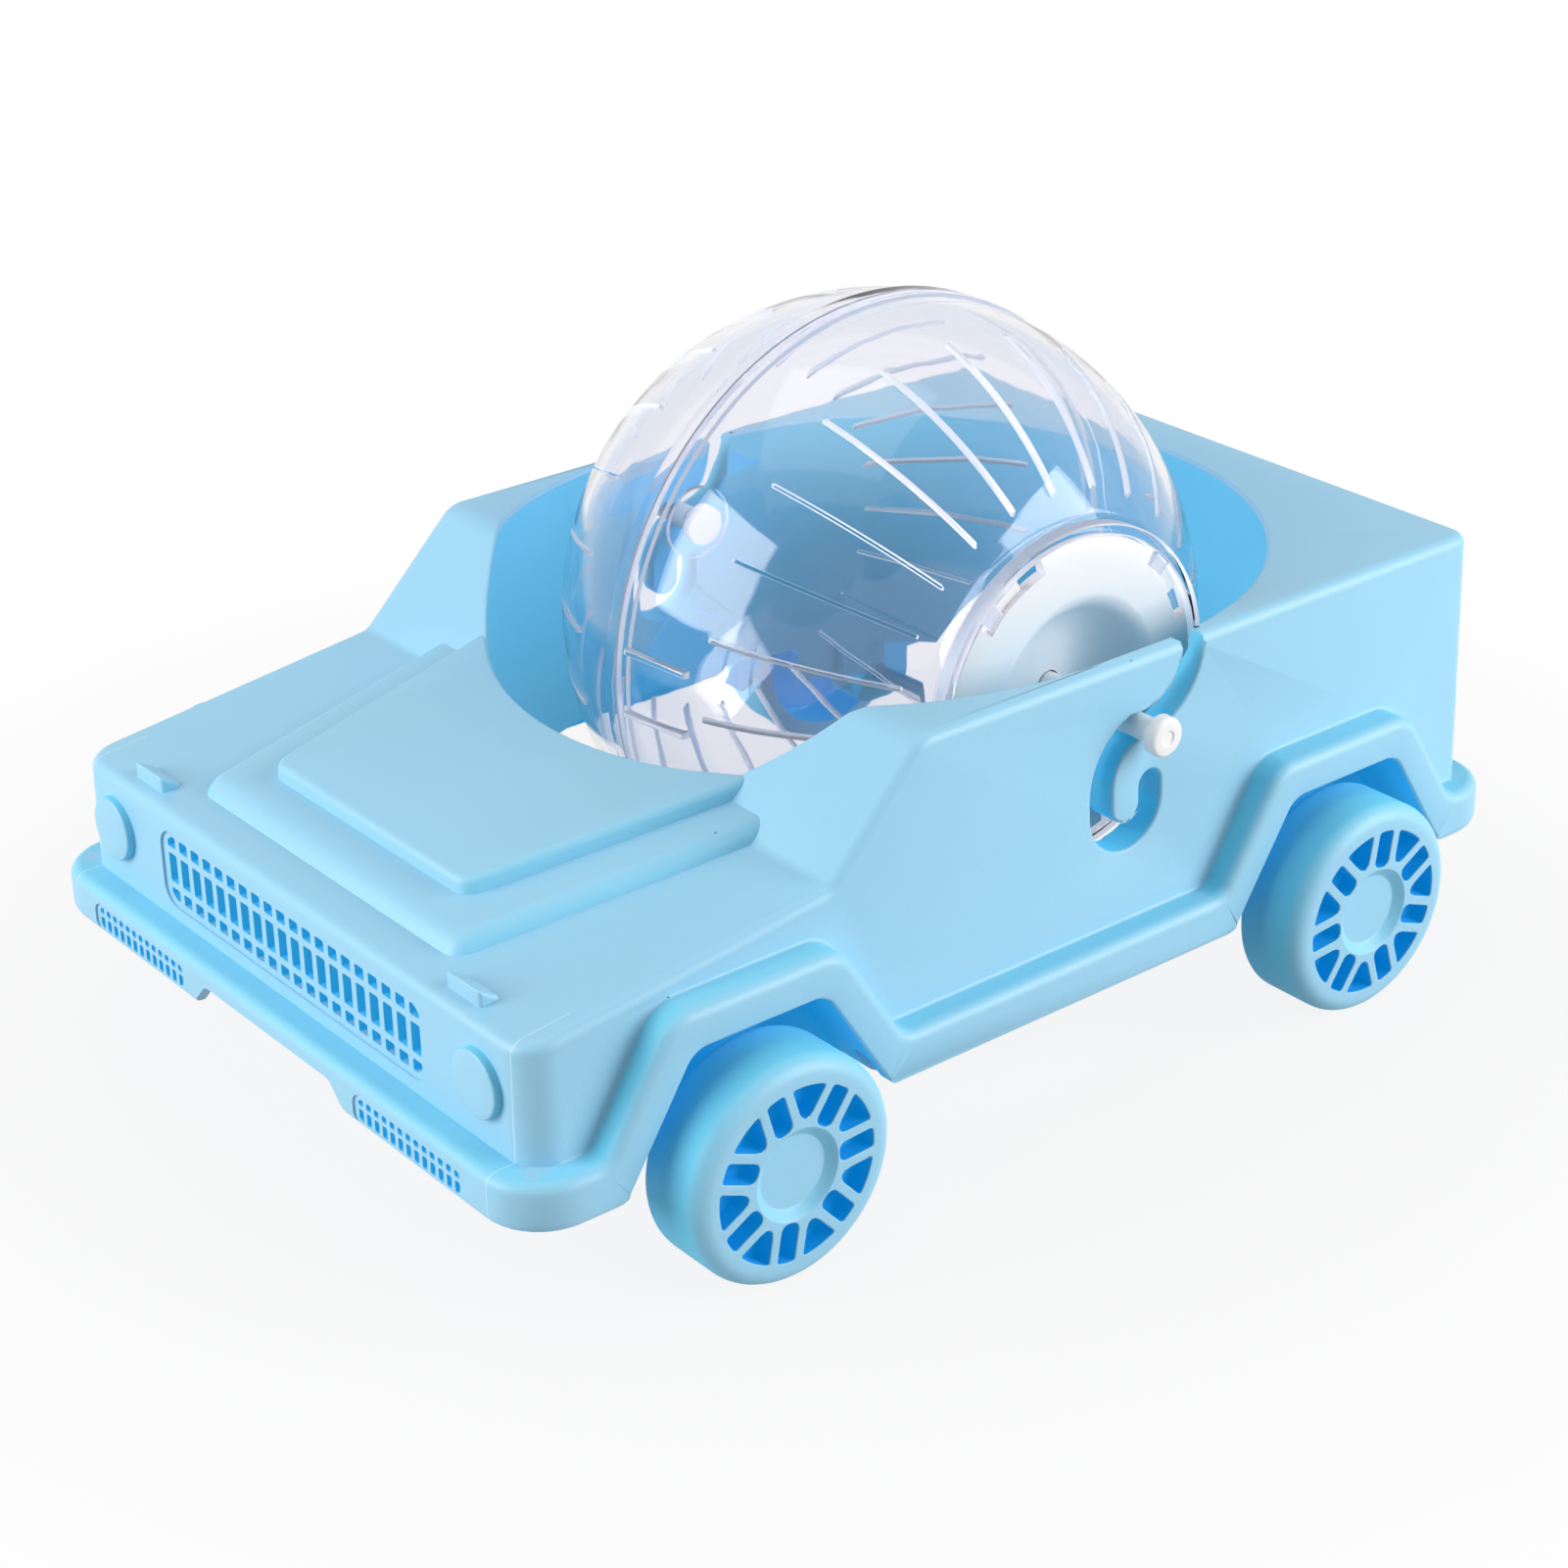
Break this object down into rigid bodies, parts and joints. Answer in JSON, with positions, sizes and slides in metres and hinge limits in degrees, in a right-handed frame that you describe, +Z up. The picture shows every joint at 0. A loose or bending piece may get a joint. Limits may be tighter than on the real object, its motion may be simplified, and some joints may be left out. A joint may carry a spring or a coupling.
{
  "type": "hamster exercise wheel",
  "caption": "Toy car body on rolling wheels carrying a clear hamster exercise ball that spins on side pegs seated in slotted walls, with a twist-lock round door.",
  "frame": {"origin": "centre of the outer box at floor level, midway between the bumpers and between the wheel faces", "axes": "+X to the car's left, the door side; +Y to the rear; +Z up"},
  "size_m": [0.172, 0.2312, 0.1283],
  "materials": {
    "body_plastic": "satin moulded polypropylene",
    "wheel_plastic": "satin moulded polypropylene",
    "axle_steel": "drawn rod",
    "clear_plastic": "clear polished",
    "white_plastic": "semi-gloss moulded"
  },
  "bodies": {
    "car": {"car_body": "body_plastic"},
    "front_axle_set": {"front_axle": "axle_steel", "wheel_front_left": "wheel_plastic", "wheel_front_right": "wheel_plastic"},
    "rear_axle_set": {"rear_axle": "axle_steel", "wheel_rear_left": "wheel_plastic", "wheel_rear_right": "wheel_plastic"},
    "pegs": {"peg_left": "white_plastic", "peg_right": "white_plastic"},
    "ball": {"ball_half_left": "clear_plastic", "ball_half_right": "clear_plastic"},
    "door": {"ball_door": "white_plastic"}
  },
  "joints": [
    {"name": "front_axle_spin", "type": "hinge", "parent": "car", "child": "front_axle_set", "pos_m": [0, -0.0678, 0.0208], "axis": [1, 0, 0], "continuous": true},
    {"name": "rear_axle_spin", "type": "hinge", "parent": "car", "child": "rear_axle_set", "pos_m": [0, 0.07025, 0.0208], "axis": [1, 0, 0], "continuous": true},
    {"name": "ball_lift", "type": "hinge", "parent": "car", "child": "pegs", "pos_m": [0, 0.0232, 0.0806], "axis": [1, 0, 0], "range_deg": [0, 90]},
    {"name": "ball_spin", "type": "hinge", "parent": "pegs", "child": "ball", "pos_m": [0, 0.0232, 0.0679], "axis": [1, 0, 0], "continuous": true},
    {"name": "door_twist", "type": "hinge", "parent": "ball", "child": "door", "pos_m": [0, 0.0232, 0.0679], "axis": [1, 0, 0], "range_deg": [0, 22]}
  ]
}
